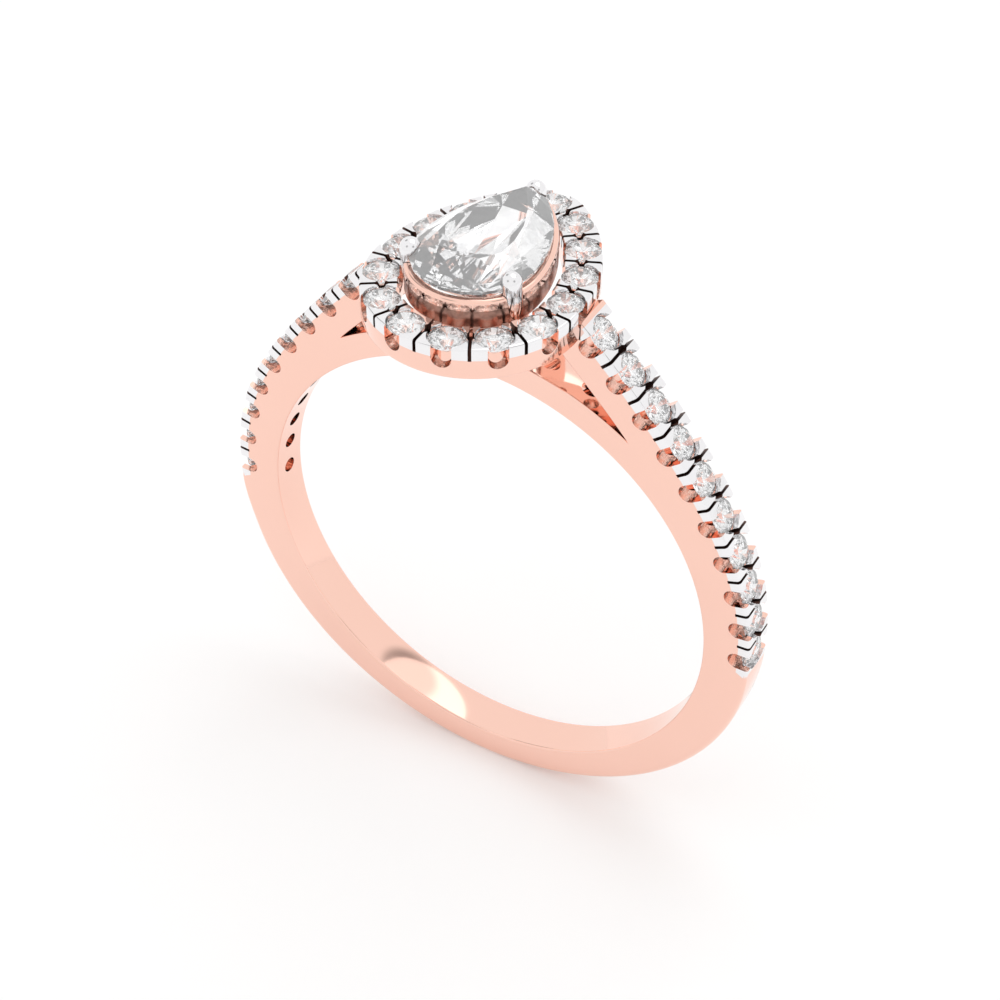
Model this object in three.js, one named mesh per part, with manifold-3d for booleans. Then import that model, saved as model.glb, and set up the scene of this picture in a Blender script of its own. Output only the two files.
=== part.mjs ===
// Pear-shaped halo engagement ring. Millimetres, +Z up.
// The ring stands on the origin: X runs from shoulder to shoulder, Y along the finger.
// The parts are drawn about the centre of the finger hole and lifted together at the end.
import * as THREE from 'three';
import { ConvexGeometry } from 'three/addons/geometries/ConvexGeometry.js';
import { mergeVertices } from 'three/addons/utils/BufferGeometryUtils.js';
import Module from 'manifold-3d';

const wasm = await Module();
wasm.setup();

// Fits
const stoneGap = 0.03;            // between a stone and the metal that holds it
const solderGap = 0.02;           // between two pieces of metal that are soldered together

// Shank
const fingerRadius = 8.5;
const shankWidth = 1.5;
const bottomThickness = 1.22;
const sideThickness = 1.64;
const bridgeThickness = 0.95;
const edgeChamfer = 0.08;
const restFlat = 0.6;             // flat at the lowest point, that the ring stands on
const shoulderAngle = 43.8;       // slope of a shoulder where it meets the halo, in degrees
const sideHandle = 0.2036;        // curve handles, as shares of the shoulder's straight length
const headHandle = 0.639;
const shoulderThickness = 1.42;   // between a shoulder's outer edge and the open arch below it

// Centre stone
const pearWidth = 4.0;
const pearLength = 5.97;
const pearTipRadius = 0.2;
const girdleRise = 4.7;           // girdle above the finger hole's edge

// Halo
const haloRise = 3.75;            // top of the halo above the finger hole's edge
const haloHeight = 1.1;
const haloBand = 1.2;
const haloInnerGap = 0.32;         // from the girdle to the halo's inner wall
const haloStoneCount = 15;
const shoulderDrop = 0.51;        // from the top of the halo to the top of the shoulder's end

// Small stones and the cuts around them
const shoulderStoneCount = 10;    // on each side
const shoulderStoneDiameter = 1.15;
const beadGap = 0.265;            // metal between two neighbouring stones
const firstStoneGap = 0.225;      // from the halo to the edge of the first shoulder stone
const haloSink = 0.1;             // girdle of a halo stone below the top of the metal
const shoulderSink = 0.2;         // girdle of a shoulder stone below the top of the metal
const slitWidth = 0.11;
const slitDepth = 0.4;
const cupRadius = 0.32;
const cupDepth = 0.42;            // axis of a cup below the top of the metal
const azureRadius = 0.28;

// Proportions of the brilliant cut, as shares of the stone's width
const crownShare = 0.15;
const girdleShare = 0.025;
const pavilionShare = 0.43;
const tableShare = 0.57;
const starShare = 0.5;            // how far a star facet reaches down the crown
const lowerShare = 0.75;          // how far a lower girdle facet reaches towards the culet

// Basket
const railHeight = 1.05;
const railLip = 0.16;             // the rail's outer face beyond the girdle
const railWall = 0.85;
const railDrop = 0.22;            // top of the rail below the girdle
const clawRadius = 0.34;
const clawBead = 0.02;            // the rounded top stands this far out from the wire
const clawRise = 0.1;             // centre of the claw's dome above the girdle
const clawAngle = 26;             // front claws, below the stone's widest line, in degrees
const frontClawInset = 0.06;      // centres of the front claws, inside the girdle
const tipClawInset = 0.25;        // the third claw's centre, inside the stone's point
const baseScale = 0.5;            // base ring's centreline, as a share of the stone's outline
const baseWall = 0.45;
const baseTipInner = 0.1;         // radius inside the base ring's tip
const baseHeight = 0.5;

// Roundness
const pearSteps = 4;
const hoopSteps = 24;
const archSteps = 20;
const seatSides = 12;
const cupSides = 8;
const clawSides = 10;

const haloTop = fingerRadius + haloRise;
const haloBottom = haloTop - haloHeight;
const girdleHeight = fingerRadius + girdleRise;
const bridgeRadius = fingerRadius + bridgeThickness;
const restRadius = fingerRadius + bottomThickness;
const sideRadius = fingerRadius + sideThickness;
const restTurn = Math.asin(restFlat / 2 / sideRadius);

const roseGold = { color: 0xf2bda6, roughness: 0.18, metalness: 1 };
const whiteGold = { color: 0xe9e9ec, roughness: 0.15, metalness: 1 };
const diamond = { color: 0xf4f7fb, roughness: 0.02, metalness: 0 };

// --- Solids ---

function solid(geometry) {
  geometry.deleteAttribute('normal');
  geometry.deleteAttribute('uv');
  const merged = mergeVertices(geometry, 1e-5);
  const index = merged.index.array;
  const triangles = [];
  for (let i = 0; i < index.length; i += 3) {
    const [a, b, c] = [index[i], index[i + 1], index[i + 2]];
    if (a !== b && b !== c && c !== a) triangles.push(a, b, c);
  }
  return new wasm.Manifold(new wasm.Mesh({
    numProp: 3,
    vertProperties: new Float32Array(merged.attributes.position.array),
    triVerts: new Uint32Array(triangles),
  }));
}

function mesh(name, body, look) {
  const { vertProperties, triVerts } = body.getMesh();
  const geometry = new THREE.BufferGeometry();
  geometry.setAttribute('position', new THREE.BufferAttribute(vertProperties, 3));
  geometry.setIndex(new THREE.BufferAttribute(triVerts, 1));
  geometry.computeVertexNormals();
  const piece = new THREE.Mesh(geometry, new THREE.MeshStandardMaterial(look));
  piece.name = name;
  return piece;
}

// A flat outline in X and Y raised from bottom to top, with its edges chamfered.
function plate(shape, bottom, top, chamfer = 0, steps = pearSteps) {
  const geometry = new THREE.ExtrudeGeometry(shape, {
    depth: top - bottom - 2 * chamfer,
    bevelEnabled: chamfer > 0,
    bevelThickness: chamfer,
    bevelSize: chamfer,
    bevelOffset: -chamfer,
    bevelSegments: 1,
    curveSegments: steps,
  });
  geometry.translate(0, 0, bottom + chamfer);
  return geometry;
}

// A profile of radius and height, turned about Z.
function turned(profile, sides) {
  const points = profile.map(([radius, height]) => new THREE.Vector2(radius, height));
  return new THREE.LatheGeometry(points, sides).rotateX(Math.PI / 2);
}

// --- Pear outlines ---

// A pear has a round end, two long flanks and a small round tip, all tangent to each other.
// Its parallel outlines share the three centres. Its length is centred on the finger's plane.
class Pear {
  constructor(halfWidth, length, tipRadius) {
    const reach = length - halfWidth;
    this.halfWidth = halfWidth;
    this.tipRadius = tipRadius;
    this.roundY = halfWidth - length / 2;
    this.tipY = this.roundY + reach - tipRadius;
    const rise = reach - tipRadius;
    this.flankRadius = (halfWidth ** 2 + rise ** 2 - tipRadius ** 2) / (2 * (halfWidth - tipRadius));
    this.flankTurn = Math.atan2(rise, this.flankRadius - halfWidth);
  }

  // Counter-clockwise from the middle of the round end, parallel to the pear at an offset.
  // Far enough inside, the flanks meet and the tip is sharp.
  outline(offset) {
    const path = new THREE.Shape();
    const flankX = this.flankRadius - this.halfWidth;
    const round = this.halfWidth + offset;
    const flank = this.flankRadius + offset;
    const tip = this.tipRadius + offset;
    const turn = tip > 0 ? this.flankTurn : Math.acos(flankX / flank);
    path.absarc(0, this.roundY, round, -Math.PI / 2, 0, false);
    path.absarc(-flankX, this.roundY, flank, 0, turn, false);
    if (tip > 0) path.absarc(0, this.tipY, tip, turn, Math.PI - turn, false);
    path.absarc(flankX, this.roundY, flank, Math.PI - turn, Math.PI, false);
    path.absarc(0, this.roundY, round, Math.PI, 1.5 * Math.PI, false);
    return path;
  }

  // A point on the round end, below the widest line by an angle, on the side of sign, inside by an inset.
  roundPoint(degrees, sign, inset) {
    const turn = THREE.MathUtils.degToRad(degrees);
    const radius = this.halfWidth - inset;
    return new THREE.Vector2(sign * radius * Math.cos(turn), this.roundY - radius * Math.sin(turn));
  }

  // A point on the axis, inside the tip by an inset.
  tipPoint(inset) {
    return new THREE.Vector2(0, this.tipY + this.tipRadius - inset);
  }
}

const pear = new Pear(pearWidth / 2, pearLength, pearTipRadius);
const baseTipRadius = baseWall / 2 + baseTipInner;
const basePear = new Pear(baseScale * pearWidth / 2, baseScale * pearLength, baseTipRadius);

// A band between two parallel outlines of a pear.
function pearBand(outline, inner, outer) {
  const shape = outline.outline(outer);
  shape.holes.push(outline.outline(inner));
  return shape;
}

// --- Brilliant-cut stones ---

// Each station of the outline is a point with its outward direction. A main facet leans in from it.
// The crown's main planes all slope alike, and so do the pavilion's, so every facet is flat.
function brilliant(stations, width, centre) {
  const crown = crownShare * width;
  const girdle = girdleShare * width;
  const pavilion = pavilionShare * width;
  const crownRun = (1 - tableShare) * width / 2;
  const halfWidth = width / 2;
  const points = [];
  const corner = (a, b, inset) => {
    const da = a.point.dot(a.out) - inset;
    const db = b.point.dot(b.out) - inset;
    const det = a.out.x * b.out.y - a.out.y * b.out.x;
    return [(da * b.out.y - db * a.out.y) / det, (db * a.out.x - da * b.out.x) / det];
  };
  stations.forEach((station, i) => {
    const next = stations[(i + 1) % stations.length];
    const inward = centre.clone().sub(station.point);
    const slide = crownRun / -inward.dot(station.out);
    const table = station.point.clone().addScaledVector(inward, slide);
    points.push(new THREE.Vector3(table.x, table.y, crown));
    for (const rim of [station.point, station.between]) {
      points.push(new THREE.Vector3(rim.x, rim.y, 0));
      points.push(new THREE.Vector3(rim.x, rim.y, -girdle));
    }
    const star = corner(station, next, crownRun * (1 - starShare));
    points.push(new THREE.Vector3(...star, crown * (1 - starShare)));
    const lower = corner(station, next, halfWidth * lowerShare);
    points.push(new THREE.Vector3(...lower, -girdle - pavilion * lowerShare));
  });
  points.push(new THREE.Vector3(centre.x, centre.y, -girdle - pavilion));
  return new ConvexGeometry(points);
}

function roundBrilliant(diameter) {
  const mains = 8;
  const radius = diameter / 2;
  const at = (turn) => new THREE.Vector2(Math.cos(turn), Math.sin(turn));
  const stations = [];
  for (let i = 0; i < mains; i += 1) {
    const turn = 2 * Math.PI * i / mains;
    const out = at(turn);
    const between = at(turn + Math.PI / mains).multiplyScalar(radius);
    stations.push({ point: out.clone().multiplyScalar(radius), out, between });
  }
  return brilliant(stations, diameter, new THREE.Vector2(0, 0));
}

function pearBrilliant() {
  const mains = 12;
  const outline = pear.outline(0);
  const at = (share) => outline.getPointAt((share + 1) % 1);
  const stations = [];
  for (let i = 0; i < mains; i += 1) {
    const share = i / mains;
    const tangent = outline.getTangentAt(share);
    const out = new THREE.Vector2(tangent.y, -tangent.x);
    stations.push({ point: at(share), out, between: at(share + 0.5 / mains) });
  }
  return brilliant(stations, pearWidth, new THREE.Vector2(0, pear.roundY));
}

// --- Stations for small stones ---

function station(origin, along, up) {
  const across = new THREE.Vector3().crossVectors(up, along);
  return new THREE.Matrix4().makeBasis(along, across, up).setPosition(origin);
}

// Along the outer edge of one shoulder, in the plane of the ring, measured down from the halo.
function shoulderCurve(sign) {
  const end = new THREE.Vector2(pear.halfWidth + haloInnerGap + haloBand, haloTop - shoulderDrop);
  const side = new THREE.Vector2(sideRadius, 0);
  const reach = end.distanceTo(side);
  const slope = THREE.MathUtils.degToRad(shoulderAngle);
  const endHandle = new THREE.Vector2(Math.cos(slope), -Math.sin(slope)).multiplyScalar(headHandle * reach);
  const sideControl = new THREE.Vector2(sideRadius, sideHandle * reach);
  const points = [end, endHandle.add(end), sideControl, side];
  const flip = new THREE.Vector2(sign, 1);
  const path = new THREE.CurvePath();
  path.add(new THREE.CubicBezierCurve(...points.map((point) => point.clone().multiply(flip))));
  const [from, to] = sign > 0 ? [0, -Math.PI / 2] : [Math.PI, 1.5 * Math.PI];
  path.add(new THREE.EllipseCurve(0, 0, sideRadius, restRadius, from, to, sign > 0));
  return path;
}

function shoulderStation(sign, distance) {
  const curve = shoulderCurve(sign);
  const share = distance / curve.getLength();
  const point = curve.getPointAt(share);
  const tangent = curve.getTangentAt(share);
  const along = new THREE.Vector3(tangent.x, 0, tangent.y);
  const up = new THREE.Vector3(-sign * tangent.y, 0, sign * tangent.x);
  return station(new THREE.Vector3(point.x, 0, point.y), along, up);
}

const haloLine = pear.outline(haloInnerGap + haloBand / 2);
const haloPitch = haloLine.getLength() / haloStoneCount;
const haloStoneDiameter = haloPitch - beadGap;
const shoulderPitch = shoulderStoneDiameter + beadGap;
const firstStoneInset = shoulderStoneDiameter / 2 + firstStoneGap;

// Around the halo, counted in stones from the front gap.
function haloStation(count) {
  const share = (count / haloStoneCount) % 1;
  const point = haloLine.getPointAt(share);
  const tangent = haloLine.getTangentAt(share);
  const along = new THREE.Vector3(tangent.x, tangent.y, 0);
  return station(new THREE.Vector3(point.x, point.y, haloTop), along, new THREE.Vector3(0, 0, 1));
}

// --- Cuts that hold the small stones ---

function seat(diameter, sink, depth) {
  const radius = diameter / 2 + stoneGap;
  const ledge = -sink - girdleShare * diameter - stoneGap;
  const slope = pavilionShare * diameter / (diameter / 2);
  const throat = ledge - (radius - azureRadius) * slope;
  const open = sink + crownShare * diameter;
  return turned([
    [0, -depth], [azureRadius, -depth], [azureRadius, throat], [radius, ledge], [radius, open], [0, open],
  ], seatSides);
}

// A slot with a round bottom, across the band under a stone.
function cup(bandWidth) {
  const shape = new THREE.Shape();
  shape.moveTo(cupRadius, cupDepth);
  shape.lineTo(-cupRadius, cupDepth);
  shape.absarc(0, -cupDepth, cupRadius, Math.PI, 2 * Math.PI, false);
  const geometry = new THREE.ExtrudeGeometry(shape, {
    depth: 2 * bandWidth,
    bevelEnabled: false,
    curveSegments: cupSides / 2,
  });
  return geometry.translate(0, 0, -bandWidth).rotateX(Math.PI / 2);
}

function slit(bandWidth) {
  return new THREE.BoxGeometry(slitWidth, 2 * bandWidth, 2 * slitDepth);
}

function cut(body, geometry, place) {
  return body.subtract(solid(geometry.applyMatrix4(place)));
}

// --- Metal ---

// The arch's edge runs parallel to the shoulder, from under the halo down to the bridge.
function archEdge(sign) {
  const curve = shoulderCurve(sign).curves[0];
  const seatX = pear.halfWidth + haloInnerGap;
  const inset = (share) => {
    const tangent = curve.getTangent(share);
    const inward = new THREE.Vector2(sign * tangent.y, -sign * tangent.x);
    return curve.getPoint(share).addScaledVector(inward, shoulderThickness);
  };
  const first = inset(0);
  const tangent = curve.getTangent(0);
  const stretch = (first.x - sign * seatX) / tangent.x;
  const edge = [first.clone().addScaledVector(tangent, -stretch)];
  let inside = first;
  for (let i = 1; inside.length() > bridgeRadius; i += 1) {
    edge.push(inside);
    inside = inset(i / archSteps);
  }
  const last = edge.at(-1);
  const share = (last.length() - bridgeRadius) / (last.length() - inside.length());
  edge.push(last.clone().lerp(inside, share));
  return edge;
}

function shankOutline() {
  const right = shoulderCurve(1).curves[0];
  const left = shoulderCurve(-1).curves[0];
  const rightArch = archEdge(1);
  const leftArch = archEdge(-1);
  const tipTurn = rightArch.at(-1).angle();
  const seatX = pear.halfWidth + haloInnerGap;
  const shape = new THREE.Shape();
  shape.moveTo(right.v0.x, right.v0.y);
  shape.lineTo(seatX, haloBottom);
  rightArch.forEach((point) => shape.lineTo(point.x, point.y));
  shape.absarc(0, 0, bridgeRadius, tipTurn, Math.PI - tipTurn, false);
  leftArch.reverse().forEach((point) => shape.lineTo(point.x, point.y));
  shape.lineTo(-seatX, haloBottom);
  shape.lineTo(left.v0.x, left.v0.y);
  shape.bezierCurveTo(left.v1.x, left.v1.y, left.v2.x, left.v2.y, left.v3.x, left.v3.y);
  shape.absellipse(0, 0, sideRadius, restRadius, Math.PI, 1.5 * Math.PI - restTurn, false);
  shape.absellipse(0, 0, sideRadius, restRadius, 1.5 * Math.PI + restTurn, 2 * Math.PI, false);
  shape.bezierCurveTo(right.v2.x, right.v2.y, right.v1.x, right.v1.y, right.v0.x, right.v0.y);
  const finger = new THREE.Path();
  finger.absarc(0, 0, fingerRadius, 0, 2 * Math.PI, true);
  shape.holes.push(finger);
  return shape;
}

function shank() {
  const band = plate(shankOutline(), -shankWidth / 2, shankWidth / 2, edgeChamfer, hoopSteps);
  let body = solid(band.rotateX(Math.PI / 2));
  const haloSeat = pear.outline(haloInnerGap + haloBand + solderGap);
  body = body.subtract(solid(plate(haloSeat, haloBottom - solderGap, haloTop + haloHeight)));
  const depth = shoulderThickness + sideThickness;
  for (const sign of [1, -1]) {
    for (let i = 0; i < shoulderStoneCount; i += 1) {
      const place = shoulderStation(sign, firstStoneInset + i * shoulderPitch);
      body = cut(body, seat(shoulderStoneDiameter, shoulderSink, depth), place);
      body = cut(body, cup(shankWidth), place);
      if (i === 0) continue;
      const between = shoulderStation(sign, firstStoneInset + (i - 0.5) * shoulderPitch);
      body = cut(body, slit(shankWidth), between);
    }
  }
  return body;
}

function halo() {
  const band = pearBand(pear, haloInnerGap, haloInnerGap + haloBand);
  let body = solid(plate(band, haloBottom, haloTop, edgeChamfer));
  for (let i = 0; i < haloStoneCount; i += 1) {
    const place = haloStation(i + 0.5);
    body = cut(body, seat(haloStoneDiameter, haloSink, 2 * haloHeight), place);
    body = cut(body, cup(haloBand), place);
    body = cut(body, slit(haloBand), haloStation(i));
  }
  return body;
}

// --- Basket ---

// The feet of the claws stand on the base ring, and their tops bend over the girdle.
const clawSpots = {
  claw_right: { foot: basePear.roundPoint(clawAngle, 1, 0), top: pear.roundPoint(clawAngle, 1, frontClawInset) },
  claw_left: { foot: basePear.roundPoint(clawAngle, -1, 0), top: pear.roundPoint(clawAngle, -1, frontClawInset) },
  claw_point: { foot: basePear.tipPoint(0), top: pear.tipPoint(tipClawInset) },
};
const baseTop = bridgeRadius + baseHeight;

function claw({ foot, top }, radius, footHeight) {
  const bend = new THREE.Vector3(top.x, top.y, haloTop);
  const start = new THREE.Vector3(foot.x, foot.y, footHeight);
  const crest = new THREE.Vector3(top.x, top.y, girdleHeight + clawRise);
  const knee = start.clone().lerp(bend, 0.7);
  const path = new THREE.CurvePath();
  path.add(new THREE.LineCurve3(start, knee));
  path.add(new THREE.QuadraticBezierCurve3(knee, bend, crest));
  const section = new THREE.Shape().absarc(0, 0, radius, 0, 2 * Math.PI, false);
  const wire = new THREE.ExtrudeGeometry(section, {
    steps: clawSides,
    curveSegments: clawSides / 2,
    extrudePath: path,
    bevelEnabled: false,
  });
  const bead = radius + clawBead;
  const dome = new THREE.SphereGeometry(bead, clawSides, clawSides / 2).rotateX(Math.PI / 2);
  return solid(wire).add(solid(dome.translate(crest.x, crest.y, crest.z)));
}

// The centre stone with its fitting gap: the cut that seats it in the rail and the claws.
function pearSeat() {
  const width = pearWidth + 2 * stoneGap;
  const grow = new THREE.Matrix4().makeScale(width / pearWidth, width / pearWidth, width / pearWidth);
  const centre = new THREE.Matrix4().makeTranslation(0, -pear.roundY, 0);
  const back = new THREE.Matrix4().makeTranslation(0, pear.roundY, girdleHeight);
  return solid(pearBrilliant().applyMatrix4(centre).applyMatrix4(grow).applyMatrix4(back));
}

function upperRail() {
  const top = girdleHeight - railDrop;
  const band = pearBand(pear, railLip - railWall, railLip);
  let body = solid(plate(band, top - railHeight, top, edgeChamfer)).subtract(pearSeat());
  for (const spot of Object.values(clawSpots)) {
    body = body.subtract(claw(spot, clawRadius + solderGap, baseTop));
  }
  return body;
}

function baseRing() {
  const band = pearBand(basePear, -baseWall / 2, baseWall / 2);
  const body = solid(plate(band, bridgeRadius - baseHeight, baseTop, edgeChamfer));
  const bridge = new THREE.CylinderGeometry(
    bridgeRadius + solderGap,
    bridgeRadius + solderGap,
    2 * pearLength,
    4 * hoopSteps,
  );
  return body.subtract(solid(bridge));
}

// The claw's foot is cut level, to stand flat on the base ring.
function seatedClaw(spot) {
  const below = new THREE.BoxGeometry(2 * pearWidth, 2 * pearLength, 2 * baseHeight);
  below.translate(0, 0, baseTop + solderGap - baseHeight);
  const wire = claw(spot, clawRadius, baseTop - clawRadius);
  return wire.subtract(pearSeat()).subtract(solid(below));
}

// --- The ring ---

function stone(name, geometry, place) {
  return mesh(name, solid(geometry.applyMatrix4(place)), diamond);
}

const ring = new THREE.Group();
ring.position.z = restRadius * Math.cos(restTurn);
ring.add(mesh('shank', shank(), roseGold));
ring.add(mesh('halo_gallery', halo(), roseGold));
ring.add(mesh('basket_upper_rail', upperRail(), roseGold));
ring.add(mesh('basket_base_ring', baseRing(), roseGold));
for (const [name, spot] of Object.entries(clawSpots)) {
  ring.add(mesh(name, seatedClaw(spot), whiteGold));
}

const girdle = new THREE.Matrix4().makeTranslation(0, 0, girdleHeight);
ring.add(stone('centre_diamond', pearBrilliant(), girdle));

const haloSunk = new THREE.Matrix4().makeTranslation(0, 0, -haloSink);
for (let i = 0; i < haloStoneCount; i += 1) {
  const place = haloStation(i + 0.5).multiply(haloSunk);
  const number = String(i + 1).padStart(2, '0');
  ring.add(stone(`halo_diamond_${number}`, roundBrilliant(haloStoneDiameter), place));
}
const shoulderSunk = new THREE.Matrix4().makeTranslation(0, 0, -shoulderSink);
for (const [side, sign] of [['left', -1], ['right', 1]]) {
  for (let i = 0; i < shoulderStoneCount; i += 1) {
    const place = shoulderStation(sign, firstStoneInset + i * shoulderPitch).multiply(shoulderSunk);
    const number = String(i + 1).padStart(2, '0');
    ring.add(stone(`shoulder_diamond_${side}_${number}`, roundBrilliant(shoulderStoneDiameter), place));
  }
}

const group = new THREE.Group();
group.add(ring);

export default group;
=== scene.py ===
"""Looks of a pear-shaped halo engagement ring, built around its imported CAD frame.

Metal is modelled in millimetres about the centre of the finger hole, then placed in metres in the frame.
The diamonds are the CAD solids themselves, with a diamond material. X runs from shoulder to shoulder,
Y along the finger, Z up.
"""
import math

import bmesh
import bpy
import numpy as np
from mathutils import Matrix, Vector


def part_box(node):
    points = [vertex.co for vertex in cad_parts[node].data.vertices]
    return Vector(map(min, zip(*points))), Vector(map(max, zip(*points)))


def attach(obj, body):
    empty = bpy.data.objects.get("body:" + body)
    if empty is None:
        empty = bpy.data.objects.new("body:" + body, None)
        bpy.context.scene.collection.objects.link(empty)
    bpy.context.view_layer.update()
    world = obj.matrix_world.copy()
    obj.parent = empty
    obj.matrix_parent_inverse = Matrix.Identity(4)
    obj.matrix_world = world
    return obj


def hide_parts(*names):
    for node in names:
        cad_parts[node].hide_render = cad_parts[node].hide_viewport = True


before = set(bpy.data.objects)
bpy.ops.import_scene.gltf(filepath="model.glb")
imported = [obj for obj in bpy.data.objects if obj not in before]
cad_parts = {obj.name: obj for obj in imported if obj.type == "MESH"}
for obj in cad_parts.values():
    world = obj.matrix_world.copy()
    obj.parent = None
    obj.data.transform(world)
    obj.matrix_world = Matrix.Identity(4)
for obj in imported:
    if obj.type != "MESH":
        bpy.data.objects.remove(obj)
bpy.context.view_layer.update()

MM = 0.001
MERGE = 0.00001

# --- Sizes from the frame, in millimetres ---


def box_mm(node):
    low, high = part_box(node)
    return np.array(low) / MM, np.array(high) / MM


SHANK_LOW, SHANK_HIGH = box_mm("shank")
HALO_LOW, HALO_HIGH = box_mm("halo_gallery")
PEAR_LOW, PEAR_HIGH = box_mm("centre_diamond")
RAIL_LOW, RAIL_HIGH = box_mm("basket_upper_rail")

FINGER_RADIUS = 8.5
BOTTOM_THICKNESS = 1.22
BRIDGE_RADIUS = FINGER_RADIUS + 0.95
SIDE_RADIUS = SHANK_HIGH[0]
SHANK_WIDTH = SHANK_HIGH[1] - SHANK_LOW[1]
REST_RADIUS = FINGER_RADIUS + BOTTOM_THICKNESS
REST_FLAT = 0.6
CENTRE_Z = REST_RADIUS * math.cos(math.asin(REST_FLAT / 2 / SIDE_RADIUS))

HALO_TOP = HALO_HIGH[2] - CENTRE_Z
HALO_BOTTOM = HALO_LOW[2] - CENTRE_Z
HALO_BAND = 1.2
PEAR_WIDTH = PEAR_HIGH[0] - PEAR_LOW[0]
PEAR_LENGTH = PEAR_HIGH[1] - PEAR_LOW[1]
PEAR_TIP_RADIUS = 0.2
HALO_OUTER = HALO_HIGH[0] - PEAR_WIDTH / 2
HALO_INNER = HALO_OUTER - HALO_BAND
CROWN_SHARE = 0.15
GIRDLE_SHARE = 0.025
PAVILION_SHARE = 0.43
GIRDLE_Z = PEAR_HIGH[2] - CENTRE_Z - CROWN_SHARE * PEAR_WIDTH

SHOULDER_DROP = 0.51
SHOULDER_SLOPE = math.radians(43.8)
SHOULDER_THICKNESS = 1.42
SIDE_THICKNESS = 1.64
SIDE_HANDLE = 0.2036
HEAD_HANDLE = 0.639

SOLDER_GAP = 0.02
STONE_GAP = 0.03
STONES_PER_SHOULDER = 10
HALO_STONES = 15
HALO_SINK = 0.1
SHOULDER_SINK = 0.2
SLIT_WIDTH = 0.11
SLIT_DEPTH = 0.42
CUP_RADIUS = 0.32
CUP_DEPTH = 0.42
AZURE_RADIUS = 0.28
POCKET_ALONG = 0.2
POCKET_ACROSS = 0.3
POCKET_DEPTH = 0.34

FINGER_EDGE = 0.07
HALO_EDGE = 0.08
SHOULDER_EDGE = 0.1
HOOP_EDGE = 0.26
RAIL_EDGE = 0.12
ARCH_EDGE = 0.06
WHITE_BAND = 0.4
BAND_SHARE = 0.97
WHITE_START = 0.42
WHITE_END = 0.62
ROUNDING_START = 0.7
ROUNDING_END = 3.0

RAIL_WALL = 0.15
RAIL_BRIGHT = 0.36
BASE_SCALE = 0.5
BASE_WALL = 0.45
BASE_TIP_INNER = 0.1
BASE_EDGE = 0.09
BASE_HEIGHT = 0.5
CLAW_RADIUS = 0.34
CLAW_RISE = 0.1
CLAW_TURN = math.radians(26)
CLAW_WHITE = 0.5
FRONT_CLAW_INSET = 0.06
TIP_CLAW_INSET = 0.25

FACET_SCALE = 2600.0
WORLD_STRENGTH = 1.0
LAMP_POWER = 0.12
LAMP_SIZE = 0.25
LAMP_PLACE = (0.05, 0.12, 0.3)
CAMERA_DISTANCE = 0.069202
DARK_CARDS = [
    ((0.3, 0.5, 0.8), 12, 0.4),
    ((-0.7, 0.2, 0.7), 10, 0.4),
    ((0.8, -0.3, 0.6), 10, 0.45),
    ((-0.2, -0.8, 0.6), 10, 0.5),
]

# --- Outlines, as lists of points ---


def arc(centre, radius, start, end, count):
    turns = np.linspace(start, end, count)
    return [(centre[0] + radius * math.cos(t), centre[1] + radius * math.sin(t)) for t in turns]


class Pear:
    """A round end, two flanks and a round tip, all tangent. Parallel outlines share their centres."""

    def __init__(self, half_width, length, tip_radius):
        rise = length - half_width - tip_radius
        self.half_width = half_width
        self.tip_radius = tip_radius
        self.round_y = half_width - length / 2
        self.tip_y = self.round_y + rise
        top = half_width ** 2 + rise ** 2 - tip_radius ** 2
        self.flank_radius = top / (2 * (half_width - tip_radius))
        self.flank_turn = math.atan2(rise, self.flank_radius - half_width)

    def outline(self, offset, count=36):
        """Counter-clockwise from the middle of the round end, parallel to the pear at an offset."""
        flank_x = self.flank_radius - self.half_width
        flank = self.flank_radius + offset
        turn = self.flank_turn
        quarter = math.pi / 2
        round_end = arc((0, self.round_y), self.half_width + offset, -quarter, 0, count)
        side = arc((-flank_x, self.round_y), flank, 0, turn, count)
        tip = arc((0, self.tip_y), self.tip_radius + offset, turn, quarter, count // 3)
        half = round_end[:-1] + side[:-1] + tip
        other = [(-x, y) for x, y in reversed(half[1:-1])]
        return np.array(half + other)


def shoulder_curve(count=160):
    """The outer edge of the right shoulder in X and Z, from the halo down to the side."""
    end = np.array((PEAR_WIDTH / 2 + HALO_OUTER, HALO_TOP - SHOULDER_DROP))
    side = np.array((SIDE_RADIUS, 0.0))
    reach = np.linalg.norm(end - side)
    slope = np.array((math.cos(SHOULDER_SLOPE), -math.sin(SHOULDER_SLOPE)))
    end_handle = end + HEAD_HANDLE * reach * slope
    side_handle = np.array((SIDE_RADIUS, SIDE_HANDLE * reach))
    t = np.linspace(0, 1, count)[:, None]
    return (
        (1 - t) ** 3 * end
        + 3 * (1 - t) ** 2 * t * end_handle
        + 3 * (1 - t) * t ** 2 * side_handle
        + t ** 3 * side
    )


def parallel(points, inset):
    """A line moved to its right by an inset."""
    tangents = np.gradient(points, axis=0)
    tangents /= np.linalg.norm(tangents, axis=1)[:, None]
    return points + inset * np.column_stack((tangents[:, 1], -tangents[:, 0]))


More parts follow.
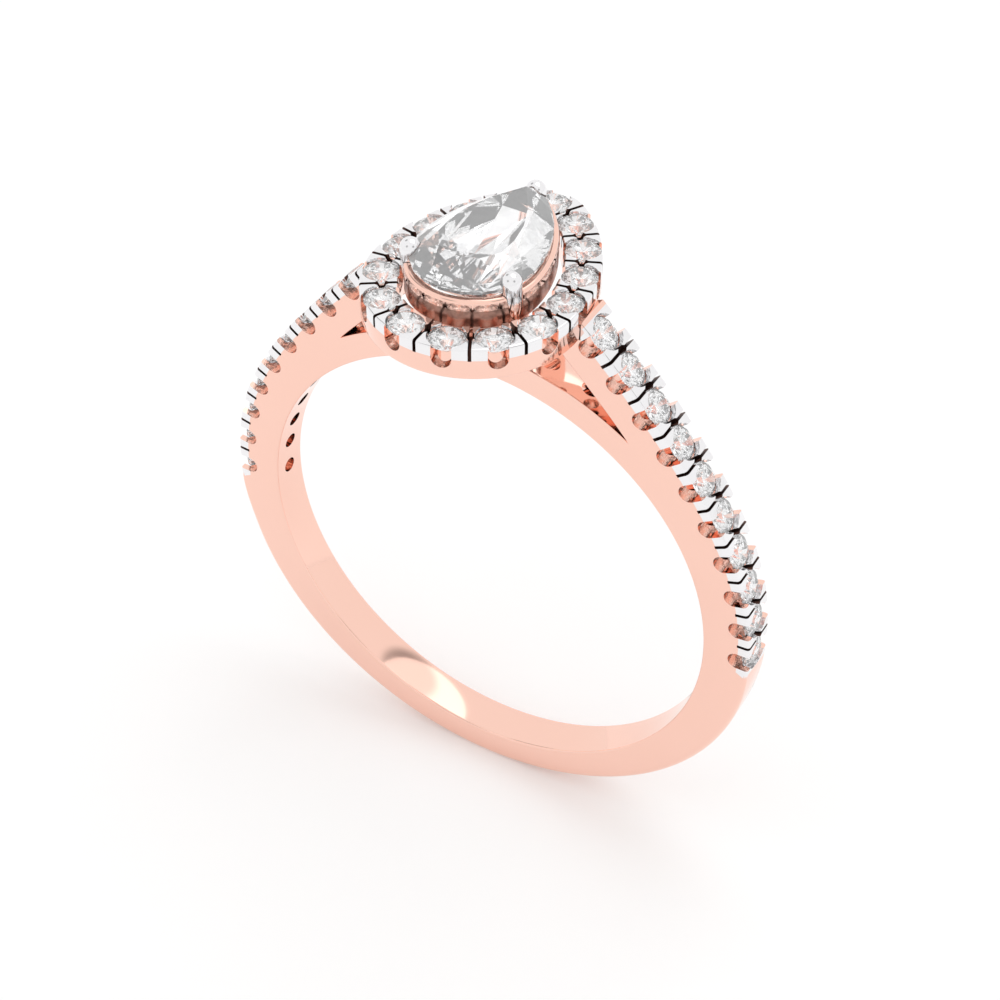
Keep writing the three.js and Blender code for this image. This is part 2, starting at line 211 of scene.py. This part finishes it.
def shank_outline():
    """Counter-clockwise outline of the hoop, the shoulders and the open arches, in X and Z."""
    shoulder = shoulder_curve()
    arch = parallel(shoulder, SHOULDER_THICKNESS)
    arch = arch[np.linalg.norm(arch, axis=1) > BRIDGE_RADIUS]
    seat_x = PEAR_WIDTH / 2 + HALO_INNER
    slope = (arch[1] - arch[0]) / (arch[1, 0] - arch[0, 0])
    under_halo = arch[0] + slope * (seat_x - arch[0, 0])
    tip_turn = math.atan2(arch[-1, 1], arch[-1, 0])
    bridge = arc((0, 0), BRIDGE_RADIUS, tip_turn, math.pi / 2, 60)
    right_head = [tuple(p) for p in shoulder[::-1]] + [(seat_x, HALO_BOTTOM), tuple(under_halo)]
    right_head += [tuple(p) for p in arch] + bridge[1:]
    left_head = [(-x, z) for x, z in reversed(right_head[:-1])]
    hoop = [
        (SIDE_RADIUS * math.cos(t), max(REST_RADIUS * math.sin(t), -CENTRE_Z))
        for t in np.linspace(math.pi, 2 * math.pi, 201)[1:-1]
    ]
    return np.array(right_head + left_head + hoop)


# --- Mesh building ---


def add_mesh(name, vertices, faces, material=None):
    mesh = bpy.data.meshes.new(name)
    mesh.from_pydata([tuple(v) for v in vertices], [], faces)
    shape = bmesh.new()
    shape.from_mesh(mesh)
    bmesh.ops.remove_doubles(shape, verts=shape.verts, dist=MERGE)
    bmesh.ops.triangulate(shape, faces=shape.faces)
    bmesh.ops.recalc_face_normals(shape, faces=shape.faces)
    shape.to_mesh(mesh)
    shape.free()
    piece = bpy.data.objects.new(name, mesh)
    bpy.context.scene.collection.objects.link(piece)
    if material is not None:
        mesh.materials.append(material)
    return piece


def bridge_loops(loops, closed):
    """Quads between neighbouring loops of equal length. A closed stack joins its last loop to its first."""
    size = len(loops[0])
    faces = []
    rows = len(loops) if closed else len(loops) - 1
    for row in range(rows):
        a = row * size
        b = (row + 1) % len(loops) * size
        for i in range(size):
            j = (i + 1) % size
            faces.append((a + i, a + j, b + j, b + i))
    return faces


def rounded_rectangle(low_u, high_u, low_v, high_v, radius, steps=5):
    """Counter-clockwise corners of a rectangle with rounded corners."""
    quarter = math.pi / 2
    points = []
    points += arc((high_u - radius, low_v + radius), radius, -quarter, 0, steps)
    points += arc((high_u - radius, high_v - radius), radius, 0, quarter, steps)
    points += arc((low_u + radius, high_v - radius), radius, quarter, 2 * quarter, steps)
    points += arc((low_u + radius, low_v + radius), radius, 2 * quarter, 3 * quarter, steps)
    return points


def pear_ring(name, outline, profile, material):
    """A ring around a pear. The profile holds offsets from the pear and heights."""
    loops = []
    for offset, height in profile:
        loop = outline.outline(offset)
        loops.append(np.column_stack((loop, np.full(len(loop), height))))
    return add_mesh(name, np.concatenate(loops), bridge_loops(loops, closed=True), material)


def prism(name, loop, low, high, material=None):
    bottom = np.column_stack((loop, np.full(len(loop), low)))
    top = np.column_stack((loop, np.full(len(loop), high)))
    size = len(loop)
    faces = bridge_loops([bottom, top], closed=False)
    faces.append(tuple(reversed(range(size))))
    faces.append(tuple(range(size, 2 * size)))
    return add_mesh(name, np.concatenate((bottom, top)), faces, material)


def inward_normals(loop):
    """Inward directions at the corners of a counter-clockwise loop."""
    before = loop - np.roll(loop, 1, axis=0)
    after = np.roll(loop, -1, axis=0) - loop
    before /= np.linalg.norm(before, axis=1)[:, None]
    after /= np.linalg.norm(after, axis=1)[:, None]
    tangent = before + after
    tangent /= np.linalg.norm(tangent, axis=1)[:, None]
    inward = np.column_stack((-tangent[:, 1], tangent[:, 0]))
    stretch = np.clip(np.einsum("ij,ij->i", tangent, after), 0.6, 1)
    return inward / stretch[:, None]


def cut(piece, cutter):
    """Cuts a piece with a closed cutter, which is used up. Cut faces take the cutter's material."""
    modifier = piece.modifiers.new("cut", "BOOLEAN")
    modifier.object = cutter
    modifier.operation = "DIFFERENCE"
    modifier.solver = "MANIFOLD"
    modifier.material_mode = "TRANSFER"
    graph = bpy.context.evaluated_depsgraph_get()
    mesh = bpy.data.meshes.new_from_object(piece.evaluated_get(graph))
    piece.modifiers.clear()
    shape = bmesh.new()
    shape.from_mesh(mesh)
    bmesh.ops.triangulate(shape, faces=shape.faces)
    shape.to_mesh(mesh)
    shape.free()
    old = piece.data
    piece.data = mesh
    bpy.data.meshes.remove(old)
    bpy.data.objects.remove(cutter)


def turned(profile, sides):
    """A solid of revolution about Z, from a profile that runs up and starts and ends off the axis."""
    vertices = [(0, 0, profile[0][1])]
    for radius, height in profile:
        for x, y in arc((0, 0), radius, 0, 2 * math.pi, sides + 1)[:-1]:
            vertices.append((x, y, height))
    vertices.append((0, 0, profile[-1][1]))
    faces = []
    last = len(vertices) - 1
    for i in range(sides):
        j = (i + 1) % sides
        faces.append((0, 1 + j, 1 + i))
        for row in range(len(profile) - 1):
            a = 1 + row * sides
            b = a + sides
            faces.append((a + i, a + j, b + j, b + i))
        top = 1 + (len(profile) - 1) * sides
        faces.append((top + i, top + j, last))
    return np.array(vertices, float), faces


def gather(name, shapes, material):
    """One object from many separate (vertices, faces) shapes."""
    vertices = []
    faces = []
    for shape_vertices, shape_faces in shapes:
        start = len(vertices)
        vertices.extend(shape_vertices)
        faces.extend(tuple(start + i for i in face) for face in shape_faces)
    return add_mesh(name, vertices, faces, material)


# --- Seats of the small stones ---


def stone_place(node):
    """Centre of the girdle's top and the outward axis of a round brilliant, in millimetres."""
    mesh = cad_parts[node].data
    points = np.array([v.co[:] for v in mesh.vertices]) / MM
    rim = np.unique(points.round(4), axis=0)
    middle = rim.mean(0)
    axis = np.linalg.svd(rim - middle)[2][2]
    heights = (rim - middle) @ axis
    deepest = np.argmax(np.abs(heights))
    culet = rim[deepest]
    up = -np.sign(heights[deepest]) * axis
    depth = heights.max() - heights.min()
    diameter = depth / (CROWN_SHARE + GIRDLE_SHARE + PAVILION_SHARE)
    centre = culet + up * (PAVILION_SHARE + GIRDLE_SHARE) * diameter
    centre[2] -= CENTRE_Z
    return centre, up, diameter


class Station:
    """A place on the metal's top surface, with directions along and across the band, and out of it."""

    def __init__(self, origin, along, up):
        self.origin = np.array(origin)
        self.up = np.array(up) / np.linalg.norm(up)
        along = np.array(along) - np.dot(along, self.up) * self.up
        self.along = along / np.linalg.norm(along)
        self.across = np.cross(self.up, self.along)

    def place(self, shape):
        vertices, faces = shape
        basis = np.array((self.along, self.across, self.up))
        return np.array(vertices) @ basis + self.origin, faces

    def halfway(self, other):
        middle = (self.origin + other.origin) / 2
        return Station(middle, other.origin - self.origin, self.up + other.up)


def seat_shape(diameter, sink):
    radius = diameter / 2 + STONE_GAP
    ledge = -sink - GIRDLE_SHARE * diameter - STONE_GAP
    throat = ledge - (radius - AZURE_RADIUS) * 2 * PAVILION_SHARE
    return turned([(AZURE_RADIUS, throat), (radius, ledge), (radius, 1.0)], 32)


def azure_shape(depth):
    """The round light hole under a seat."""
    return turned([(AZURE_RADIUS, -depth), (AZURE_RADIUS, 0)], 32)


def cup_shape(width):
    """A slot with a round bottom, across the band."""
    loop = [(CUP_RADIUS, 1.0), (-CUP_RADIUS, 1.0)]
    loop += arc((0, -CUP_DEPTH), CUP_RADIUS, math.pi, 2 * math.pi, 17)
    size = len(loop)
    vertices = [(x, -width, z) for x, z in loop] + [(x, width, z) for x, z in loop]
    faces = [(i, (i + 1) % size, size + (i + 1) % size, size + i) for i in range(size)]
    faces.append(tuple(reversed(range(size))))
    faces.append(tuple(range(size, 2 * size)))
    return vertices, faces


def box_shape(length, width, low, high):
    u = length / 2
    v = width / 2
    corners = [(-u, -v), (u, -v), (u, v), (-u, v)]
    vertices = [(x, y, low) for x, y in corners] + [(x, y, high) for x, y in corners]
    faces = [(3, 2, 1, 0), (4, 5, 6, 7), (0, 1, 5, 4), (1, 2, 6, 5), (2, 3, 7, 6), (3, 0, 4, 7)]
    return vertices, faces


def pocket_shape():
    """A lozenge-shaped pit between four beads."""
    corners = [(-POCKET_ALONG, 0), (0, -POCKET_ACROSS), (POCKET_ALONG, 0), (0, POCKET_ACROSS)]
    vertices = [(0.4 * x, 0.4 * y, -POCKET_DEPTH) for x, y in corners]
    vertices += [(x, y, 0.02) for x, y in corners]
    vertices += [(x, y, 1.0) for x, y in corners]
    faces = [(3, 2, 1, 0), (8, 9, 10, 11)]
    for row in (0, 4):
        for i in range(4):
            j = (i + 1) % 4
            faces.append((row + i, row + j, row + 4 + j, row + 4 + i))
    return vertices, faces


def carve(piece, stations, gaps, diameter, sink, width, depth, material):
    """Cuts the seats and cups of some stones, and the slits and pockets between them."""
    holes = azure_shape(depth)
    seats = seat_shape(diameter, sink)
    cups = cup_shape(width)
    slits = box_shape(SLIT_WIDTH, 2 * width, -SLIT_DEPTH, 1.0)
    pits = pocket_shape()
    cut(piece, gather("holes", [s.place(holes) for s in stations], material))
    cut(piece, gather("seats", [s.place(seats) for s in stations], WHITE))
    cut(piece, gather("cups", [s.place(cups) for s in stations], material))
    # The slit and pit walls take the dark rose of the painted recess shade.
    cut(piece, gather("slits", [s.place(slits) for s in gaps], PAINTED_RECESS_SHADE))
    cut(piece, gather("pits", [s.place(pits) for s in gaps], PAINTED_RECESS_SHADE))


def finish_piece(piece, *nodes, slot="rose_gold", smooth=32):
    """Puts a piece made in millimetres into the frame, and smooths its curved faces."""
    lift = Matrix.Translation((0, 0, CENTRE_Z * MM))
    piece.data.transform(lift @ Matrix.Scale(MM, 4))
    piece.data.shade_smooth()
    piece.data.set_sharp_from_angle(angle=math.radians(smooth))
    weighted = piece.modifiers.new("weighted normals", "WEIGHTED_NORMAL")
    weighted.keep_sharp = True
    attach(piece, "root")
    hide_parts(*nodes)
    return piece

# --- Materials ---


def node_material(name):
    material = bpy.data.materials.new(name)
    material.use_nodes = True
    tree = material.node_tree
    shader = tree.nodes["Principled BSDF"]
    return material, tree, shader


def link(tree, source, target):
    tree.links.new(source, target)


def metal_material(name, light_colour, dark_colour, roughness, wear):
    """Polished metal with a faint drift of colour and fine polishing unevenness."""
    material, tree, shader = node_material(name)
    place = tree.nodes.new("ShaderNodeTexCoord")
    drift = tree.nodes.new("ShaderNodeTexNoise")
    drift.inputs["Scale"].default_value = 180.0
    drift.inputs["Detail"].default_value = 3.0
    tint = tree.nodes.new("ShaderNodeValToRGB")
    tint.color_ramp.elements[0].position = 0.3
    tint.color_ramp.elements[0].color = (*dark_colour, 1)
    tint.color_ramp.elements[1].position = 0.7
    tint.color_ramp.elements[1].color = (*light_colour, 1)
    polish = tree.nodes.new("ShaderNodeTexNoise")
    polish.inputs["Scale"].default_value = 900.0
    polish.inputs["Detail"].default_value = 2.0
    spread = tree.nodes.new("ShaderNodeMapRange")
    spread.inputs["To Min"].default_value = roughness
    spread.inputs["To Max"].default_value = roughness + wear
    link(tree, place.outputs["Object"], drift.inputs["Vector"])
    link(tree, place.outputs["Object"], polish.inputs["Vector"])
    link(tree, drift.outputs["Fac"], tint.inputs["Fac"])
    link(tree, tint.outputs["Color"], shader.inputs["Base Color"])
    link(tree, polish.outputs["Fac"], spread.inputs["Value"])
    link(tree, spread.outputs["Result"], shader.inputs["Roughness"])
    shader.inputs["Metallic"].default_value = 1.0
    return material


ROSE = metal_material("rose gold", (0.97, 0.635, 0.53), (0.955, 0.615, 0.51), 0.06, 0.05)
WHITE = metal_material("white gold", (0.9, 0.89, 0.9), (0.86, 0.85, 0.86), 0.08, 0.05)

SHADED = metal_material("rose gold shaded", (0.5, 0.29, 0.23), (0.42, 0.23, 0.18), 0.2, 0.1)
# Painted shade: a dark rose that stands in for the shade deep inside the slits and pits.
PAINTED_RECESS_SHADE = metal_material("rose gold painted recess shade", (0.16, 0.08, 0.065), (0.08, 0.04, 0.03), 0.35, 0.2)

diamond, diamond_tree, diamond_shader = node_material("diamond")
diamond_place = diamond_tree.nodes.new("ShaderNodeTexCoord")
facets = diamond_tree.nodes.new("ShaderNodeTexVoronoi")
facets.inputs["Scale"].default_value = FACET_SCALE
facet_shade = diamond_tree.nodes.new("ShaderNodeValToRGB")
facet_shade.color_ramp.interpolation = "CONSTANT"
facet_shade.color_ramp.elements[0].position = 0.0
facet_shade.color_ramp.elements[0].color = (0.88, 0.88, 0.89, 1)
facet_shade.color_ramp.elements[1].position = 0.25
facet_shade.color_ramp.elements[1].color = (0.96, 0.96, 0.97, 1)
bright = facet_shade.color_ramp.elements.new(0.5)
bright.color = (1, 1, 1, 1)
link(diamond_tree, diamond_place.outputs["Object"], facets.inputs["Vector"])
link(diamond_tree, facets.outputs["Color"], facet_shade.inputs["Fac"])
link(diamond_tree, facet_shade.outputs["Color"], diamond_shader.inputs["Base Color"])
diamond_shader.inputs["Transmission Weight"].default_value = 0.94
# Painted light: a faint white glow brightens the diamonds, though they are no lamp.
diamond_shader.inputs["Emission Color"].default_value = (1, 1, 1, 1)
diamond_shader.inputs["Emission Strength"].default_value = 0.022
diamond_shader.inputs["IOR"].default_value = 2.42
diamond_shader.inputs["Roughness"].default_value = 0.0

# --- Stations of the small stones ---

right_shoulder = []
left_shoulder = []
for number in range(1, STONES_PER_SHOULDER + 1):
    for side, stations in (("right", right_shoulder), ("left", left_shoulder)):
        centre, up, small = stone_place(f"shoulder_diamond_{side}_{number:02d}")
        up[1] = 0
        stations.append(Station(centre + up * SHOULDER_SINK, np.cross((0, 1, 0), up), up))
shoulder_diameter = small
shoulder_gaps = []
for stations in (right_shoulder, left_shoulder):
    shoulder_gaps += [a.halfway(b) for a, b in zip(stations, stations[1:])]

halo_places = [stone_place(f"halo_diamond_{number:02d}") for number in range(1, HALO_STONES + 1)]
halo_diameter = halo_places[0][2]
halo_stations = []
for i, (centre, up, _) in enumerate(halo_places):
    before = halo_places[i - 1][0]
    after = halo_places[(i + 1) % HALO_STONES][0]
    level = (centre[0], centre[1], HALO_TOP)
    halo_stations.append(Station(level, after - before, (0, 0, 1)))
halo_gaps = [a.halfway(b) for a, b in zip(halo_stations, halo_stations[1:] + halo_stations[:1])]

# --- Shank, with its shoulders ---

pear = Pear(PEAR_WIDTH / 2, PEAR_LENGTH, PEAR_TIP_RADIUS)
half_width = SHANK_WIDTH / 2
first_stone = right_shoulder[0].origin
last_stone = right_shoulder[-1].origin


def ease(value, start, end):
    """0 at start, 1 at end, and smooth between them."""
    t = min(max((value - start) / (end - start), 0), 1)
    return t * t * (3 - 2 * t)


def on_outside(point):
    """Whether a point of the side outline is on the outer edge, and not on an arch or the bridge."""
    if point[1] < 0:
        return True
    return bool(np.min(np.linalg.norm(outer_edge - np.abs(point), axis=1)) < 0.01)


def rim_radius(point):
    """How far the rim is rounded over: little along the stones, more around the plain hoop."""
    if not on_outside(point):
        return ARCH_EDGE
    below = last_stone[2] - point[1]
    return SHOULDER_EDGE + (HOOP_EDGE - SHOULDER_EDGE) * ease(below, ROUNDING_START, ROUNDING_END)


def beside_stones(point):
    return on_outside(point) and last_stone[2] - WHITE_END < point[1] < first_stone[2] + WHITE_START


outer_edge = shoulder_curve()
side_loop = shank_outline()
inward = inward_normals(side_loop)
rim = np.array([rim_radius(p) for p in side_loop])
plated = np.array([beside_stones(p) for p in side_loop])
plate_inset = np.where(plated, WHITE_BAND, rim + 0.02)

front = []
front_loop = side_loop + inward * plate_inset[:, None]
flat = np.full(len(side_loop), -half_width)
front.append(np.column_stack((front_loop[:, 0], flat, front_loop[:, 1])))
for turn in np.linspace(0, math.pi / 2, 7):
    loop = side_loop + inward * (rim * (1 - math.sin(turn)))[:, None]
    front.append(np.column_stack((loop[:, 0], -half_width + rim * (1 - math.cos(turn)), loop[:, 1])))
back = [loop * np.array((1, -1, 1)) for loop in reversed(front)]
stack = front + back
size = len(side_loop)
faces = bridge_loops(stack, closed=False)
faces.append(tuple(range(size)))
faces.append(tuple(range((len(stack) - 1) * size, len(stack) * size)))
shank = add_mesh("shank_visual", np.concatenate(stack), faces, ROSE)
shank.data.materials.append(WHITE)


def paint(piece, test):
    """Gives the second material to the faces whose centre passes a test."""
    for face in piece.data.polygons:
        if test(face.center):
            face.material_index = 1


def on_plated_band(centre):
    point = np.array((abs(centre[0]), centre[2]))
    if not last_stone[2] - WHITE_END < point[1] < first_stone[2] + WHITE_START:
        return False
    return bool(np.min(np.linalg.norm(outer_edge - point, axis=1)) < WHITE_BAND * BAND_SHARE)


paint(shank, on_plated_band)

hole = [(FINGER_RADIUS + FINGER_EDGE, -half_width - 0.5)]
for turn in np.linspace(0, math.pi / 2, 6):
    radius = FINGER_RADIUS + FINGER_EDGE * (1 - math.sin(turn))
    hole.append((radius, -half_width + FINGER_EDGE * (1 - math.cos(turn))))
hole += [(radius, -height) for radius, height in reversed(hole)]
vertices, faces = turned(hole, 288)
cut(shank, add_mesh("finger hole", vertices[:, [0, 2, 1]], faces, ROSE))
halo_seat = pear.outline(HALO_OUTER + SOLDER_GAP)
cut(shank, prism("halo seat", halo_seat, HALO_BOTTOM - SOLDER_GAP, HALO_TOP + 2, ROSE))
carve(
    shank,
    right_shoulder + left_shoulder,
    shoulder_gaps,
    shoulder_diameter,
    SHOULDER_SINK,
    SHANK_WIDTH,
    SHOULDER_THICKNESS + SIDE_THICKNESS,
    ROSE,
)
finish_piece(shank, "shank")

# --- Halo, rail and base ring ---


def band_profile(low_u, high_u, low_v, high_v, radius, split=None):
    """A rounded rectangle of offsets and heights, with an extra point on each wall at a split height."""
    points = rounded_rectangle(low_u, high_u, low_v, high_v, radius)
    if split is None:
        return points
    quarter = len(points) // 4
    outer = [(high_u, split)] + points[quarter:3 * quarter]
    return points[:quarter] + outer + [(low_u, split)] + points[3 * quarter:]


white_line = HALO_TOP - WHITE_BAND
halo = pear_ring(
    "halo_visual",
    pear,
    band_profile(HALO_INNER, HALO_OUTER, HALO_BOTTOM, HALO_TOP, HALO_EDGE, white_line),
    ROSE,
)
halo.data.materials.append(WHITE)
paint(halo, lambda centre: centre[2] > white_line)
carve(halo, halo_stations, halo_gaps, halo_diameter, HALO_SINK, HALO_BAND, 2 * (HALO_TOP - HALO_BOTTOM), ROSE)
finish_piece(halo, "halo_gallery")

rail_top = RAIL_HIGH[2] - CENTRE_Z
rail_bottom = RAIL_LOW[2] - CENTRE_Z
rail_lip = (RAIL_HIGH[0] - RAIL_LOW[0] - PEAR_WIDTH) / 2
shade_line = rail_top - RAIL_BRIGHT
rail_profile = band_profile(-RAIL_WALL, rail_lip, rail_bottom, rail_top, RAIL_EDGE, shade_line)
rail = pear_ring("rail_visual", pear, rail_profile, ROSE)
rail.data.materials.append(SHADED)
paint(rail, lambda centre: centre[2] < shade_line)


def stone_cutter(scale):
    """The centre stone, a little larger about its middle at the girdle."""
    points = np.array([v.co[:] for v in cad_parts["centre_diamond"].data.vertices]) / MM
    points[:, 2] -= CENTRE_Z
    middle = np.array((0, pear.round_y, GIRDLE_Z))
    points = np.unique((middle + scale * (points - middle)).round(5), axis=0)
    shape = bmesh.new()
    for point in points:
        shape.verts.new(point)
    bmesh.ops.convex_hull(shape, input=shape.verts)
    mesh = bpy.data.meshes.new("stone cutter")
    shape.to_mesh(mesh)
    shape.free()
    cutter = bpy.data.objects.new("stone cutter", mesh)
    bpy.context.scene.collection.objects.link(cutter)
    mesh.materials.append(ROSE)
    return cutter


seat_scale = 1 + 2 * STONE_GAP / PEAR_WIDTH
cut(rail, stone_cutter(seat_scale))

base_bottom = BRIDGE_RADIUS - BASE_HEIGHT
base_top = BRIDGE_RADIUS + BASE_HEIGHT
base_pear = Pear(BASE_SCALE * PEAR_WIDTH / 2, BASE_SCALE * PEAR_LENGTH, BASE_WALL / 2 + BASE_TIP_INNER)
base_profile = band_profile(-BASE_WALL / 2, BASE_WALL / 2, base_bottom, base_top, BASE_EDGE)
base = pear_ring("base_ring_visual", base_pear, base_profile, ROSE)
round_bar = arc((0, 0), BRIDGE_RADIUS + SOLDER_GAP, 0, 2 * math.pi, 289)[:-1]
bar = prism("bridge cutter", np.array(round_bar), -PEAR_LENGTH, PEAR_LENGTH, ROSE)
bar.data.transform(Matrix.Rotation(math.pi / 2, 4, "X"))
cut(base, bar)
finish_piece(base, "basket_base_ring")

# --- Claws ---


def swept(name, path, radius, sides, material):
    """A round wire along a path, with a flat foot and a domed top."""
    path = np.array(path)
    tangents = np.gradient(path, axis=0)
    tangents /= np.linalg.norm(tangents, axis=1)[:, None]
    side = np.cross(tangents[0], (0, 1, 0.3))
    rows = []
    rings = list(zip(path, tangents, [radius] * len(path)))
    for turn in np.linspace(0, math.pi / 2, 9)[1:-1]:
        tip = path[-1] + tangents[-1] * radius * math.sin(turn)
        rings.append((tip, tangents[-1], radius * math.cos(turn)))
    for centre, tangent, size in rings:
        side = side - np.dot(side, tangent) * tangent
        side /= np.linalg.norm(side)
        other = np.cross(tangent, side)
        circle = arc((0, 0), 1, 0, 2 * math.pi, sides + 1)[:-1]
        rows.append([centre + size * (u * side + v * other) for u, v in circle])
    faces = bridge_loops(rows, closed=False)
    vertices = [point for row in rows for point in row]
    vertices.append(path[-1] + tangents[-1] * radius)
    faces.append(tuple(range(sides)))
    top = (len(rows) - 1) * sides
    faces += [(top + i, top + (i + 1) % sides, len(vertices) - 1) for i in range(sides)]
    return add_mesh(name, vertices, faces, material)


def claw_path(foot, top):
    start = np.array((*foot, base_top - CLAW_RADIUS))
    bend = np.array((*top, HALO_TOP))
    crest = np.array((*top, GIRDLE_Z + CLAW_RISE))
    knee = start + 0.7 * (bend - start)
    straight = [start + (knee - start) * t for t in np.linspace(0, 1, 8)]
    curve = [(1 - t) ** 2 * knee + 2 * (1 - t) * t * bend + t ** 2 * crest for t in np.linspace(0, 1, 24)]
    return straight + curve[1:]


def round_point(outline, sign, inset):
    radius = outline.half_width - inset
    return (sign * radius * math.cos(CLAW_TURN), outline.round_y - radius * math.sin(CLAW_TURN))


def tip_point(outline, inset):
    return (0, outline.tip_y + outline.tip_radius - inset)


claw_spots = {
    "claw_right": (round_point(base_pear, 1, 0), round_point(pear, 1, FRONT_CLAW_INSET)),
    "claw_left": (round_point(base_pear, -1, 0), round_point(pear, -1, FRONT_CLAW_INSET)),
    "claw_point": (tip_point(base_pear, 0), tip_point(pear, TIP_CLAW_INSET)),
}
for node, (foot, top) in claw_spots.items():
    path = claw_path(foot, top)
    cut(rail, swept("claw gap", path, CLAW_RADIUS + SOLDER_GAP, 32, ROSE))
    claw = swept(node + "_visual", path, CLAW_RADIUS, 32, ROSE)
    claw.data.materials.append(WHITE)
    paint(claw, lambda centre: centre[2] > GIRDLE_Z - CLAW_WHITE)
    cutter = stone_cutter(seat_scale)
    cut(claw, cutter)
    below = box_shape(2 * PEAR_WIDTH, 2 * PEAR_LENGTH, 0, base_top + SOLDER_GAP)
    cut(claw, add_mesh("below the claw", *below, ROSE))
    finish_piece(claw, node, slot="white_gold", smooth=40)
finish_piece(rail, "basket_upper_rail")

# --- Diamonds ---

for node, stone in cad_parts.items():
    if "diamond" in node:
        stone.data.materials.clear()
        stone.data.materials.append(diamond)
        stone.data.shade_flat()

# --- Stage: floor, light, camera ---

floor, _, floor_shader = node_material("pale floor")
floor_shader.inputs["Base Color"].default_value = (0.93, 0.93, 0.93, 1)
floor_shader.inputs["Roughness"].default_value = 0.8
floor_shader.inputs["Specular IOR Level"].default_value = 0.0
floor_shader.inputs["Emission Color"].default_value = (1, 1, 1, 1)
floor_shader.inputs["Emission Strength"].default_value = 0.08
ground = add_mesh("floor", [(-3, -3, 0), (3, -3, 0), (3, 3, 0), (-3, 3, 0)], [(0, 1, 2, 3)], floor)

world = bpy.data.worlds.new("studio")
bpy.context.scene.world = world
world.use_nodes = True
tree = world.node_tree
sky = tree.nodes["Background"]
sky.inputs["Strength"].default_value = WORLD_STRENGTH
place = tree.nodes.new("ShaderNodeTexCoord")
colour = None
for direction, spread, shade in DARK_CARDS:
    unit = Vector(direction).normalized()
    dot = tree.nodes.new("ShaderNodeVectorMath")
    dot.operation = "DOT_PRODUCT"
    dot.inputs[1].default_value = unit
    tree.links.new(place.outputs["Generated"], dot.inputs[0])
    ramp = tree.nodes.new("ShaderNodeMapRange")
    ramp.interpolation_type = "SMOOTHSTEP"
    ramp.inputs["From Min"].default_value = math.cos(math.radians(spread * 1.25))
    ramp.inputs["From Max"].default_value = math.cos(math.radians(spread * 0.8))
    ramp.inputs["To Min"].default_value = 1.0
    ramp.inputs["To Max"].default_value = shade
    tree.links.new(dot.outputs["Value"], ramp.inputs["Value"])
    if colour is None:
        colour = ramp.outputs["Result"]
    else:
        product = tree.nodes.new("ShaderNodeMath")
        product.operation = "MULTIPLY"
        tree.links.new(colour, product.inputs[0])
        tree.links.new(ramp.outputs["Result"], product.inputs[1])
        colour = product.outputs[0]
if colour is not None:
    tree.links.new(colour, sky.inputs["Color"])

lamp_data = bpy.data.lights.new("soft box", "AREA")
lamp_data.shape = "DISK"
lamp_data.size = LAMP_SIZE
lamp_data.energy = LAMP_POWER
lamp = bpy.data.objects.new("soft box", lamp_data)
lamp_place = Vector(LAMP_PLACE)
lamp.matrix_world = Matrix.Translation(lamp_place) @ lamp_place.to_track_quat("Z", "Y").to_matrix().to_4x4()
bpy.context.scene.collection.objects.link(lamp)

AZIMUTH = math.radians(30.287)
ELEVATION = math.radians(43.566)
level = math.cos(ELEVATION)
back_way = Vector((math.sin(AZIMUTH) * level, -math.cos(AZIMUTH) * level, math.sin(ELEVATION)))
right_way = Vector((math.cos(AZIMUTH), math.sin(AZIMUTH), 0))
up_way = back_way.cross(right_way)
camera_data = bpy.data.cameras.new("camera")
camera_data.sensor_width = 36
camera_data.lens = 71.447
camera_data.shift_x = 0.008506
camera_data.shift_y = 0.052553
camera_data.clip_start = 0.001
camera_data.clip_end = 20
camera = bpy.data.objects.new("camera", camera_data)
turn = Matrix((right_way, up_way, back_way)).transposed().to_4x4()
camera.matrix_world = Matrix.Translation(back_way * CAMERA_DISTANCE + Vector((0, 0, CENTRE_Z * MM))) @ turn
bpy.context.scene.collection.objects.link(camera)
bpy.context.scene.camera = camera
bpy.context.scene.view_settings.view_transform = "Standard"
bpy.context.scene.view_settings.look = "None"
